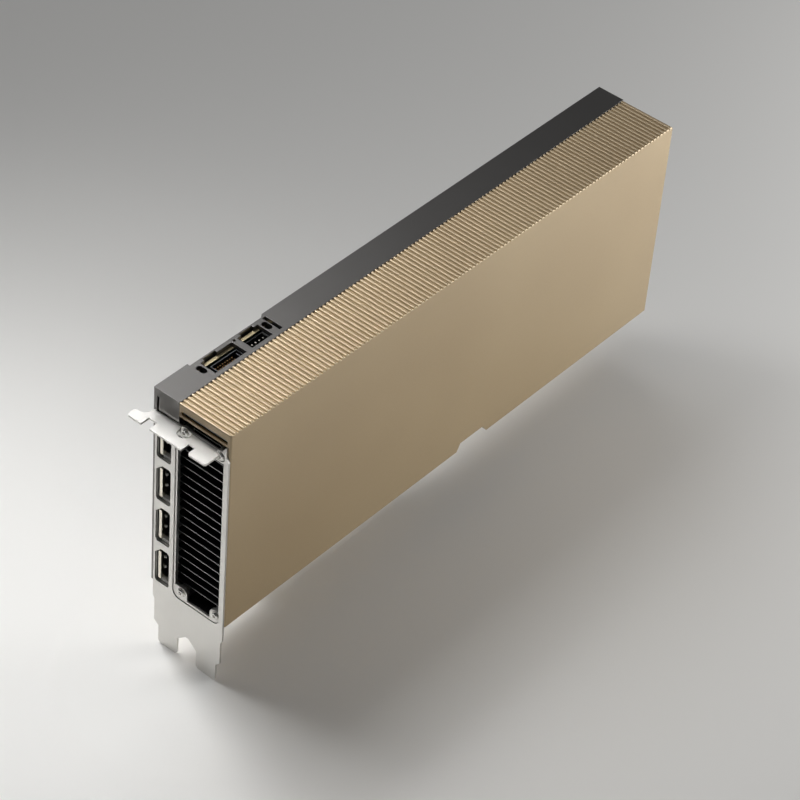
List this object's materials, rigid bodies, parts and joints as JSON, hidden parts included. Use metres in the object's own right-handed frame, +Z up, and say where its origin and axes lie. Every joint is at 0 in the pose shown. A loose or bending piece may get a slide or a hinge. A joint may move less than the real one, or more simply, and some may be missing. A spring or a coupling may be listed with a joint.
{
  "type": "passive accelerator card",
  "caption": "Fanless dual-slot accelerator card with a ribbed gold cover, a vented steel bracket, display sockets and a board-edge connector.",
  "frame": {"origin": "middle of the key notch of the edge connector, at the connector's lower edge and half way through the board", "axes": "+X along the card away from the bracket, +Y from the gold cover towards the board-side shell, +Z up, away from the slot that the card stands in"},
  "size_m": [0.2757, 0.0427, 0.1299],
  "materials": {
    "cover_paint": "satin champagne-gold finish on aluminium sheet",
    "shell_coat": "smooth dark grey coating, satin",
    "bracket_plate": "nickel-plated steel sheet, satin",
    "vent_plate": "nickel-plated steel sheet, satin",
    "screw_plate": "nickel-plated steel",
    "black_screw": "black oxide on steel",
    "fin_metal": "rolled aluminium sheet, dulled",
    "base_metal": "milled aluminium",
    "board_laminate": "solder mask over glass laminate",
    "contact_gold": "hard gold plate",
    "socket_metal": "nickel-plated steel sheet",
    "black_nylon": "moulded nylon",
    "pin_tin": "gold-flashed pin",
    "substrate_laminate": "package laminate",
    "die_silicon": "polished silicon",
    "ring_metal": "stamped metal ring",
    "chip_resin": "moulded resin",
    "pad_silicone": "soft thermal pad",
    "coil_ferrite": "pressed ferrite powder",
    "capacitor_resin": "moulded resin",
    "brace_steel": "stamped steel",
    "film_black": "polyester film",
    "end_metal": "dark coated sheet"
  },
  "bodies": {
    "root": {"back_screws": "black_screw", "board_side_shell": "shell_coat", "bracket_screws": "screw_plate", "capacitors": "capacitor_resin", "circuit_board": "board_laminate", "cover_screws": "black_screw", "display_socket_contacts": "pin_tin", "display_socket_core_1": "black_nylon", "display_socket_core_2": "black_nylon", "display_socket_core_3": "black_nylon", "display_socket_core_4": "black_nylon", "display_socket_shell_1": "socket_metal", "display_socket_shell_2": "socket_metal", "display_socket_shell_3": "socket_metal", "display_socket_shell_4": "socket_metal", "duct_film": "film_black", "edge_contacts": "contact_gold", "end_plate": "end_metal", "fin_stack": "fin_metal", "front_cover": "cover_paint", "graphics_die": "die_silicon", "graphics_substrate": "substrate_laminate", "heatsink_base": "base_metal", "insulating_film": "film_black", "io_bracket": "bracket_plate", "memory_chips": "chip_resin", "package_brace": "brace_steel", "package_ring": "ring_metal", "package_screws": "black_screw", "power_coils": "coil_ferrite", "power_socket_housing": "black_nylon", "power_socket_pins": "pin_tin", "power_stages": "chip_resin", "stereo_header_housing": "black_nylon", "stereo_header_pins": "pin_tin", "sync_header_core": "black_nylon", "sync_header_pins": "pin_tin", "sync_header_shell": "socket_metal", "thermal_pads": "pad_silicone", "vent_frame": "vent_plate", "vent_posts": "vent_plate"}
  },
  "joints": []
}
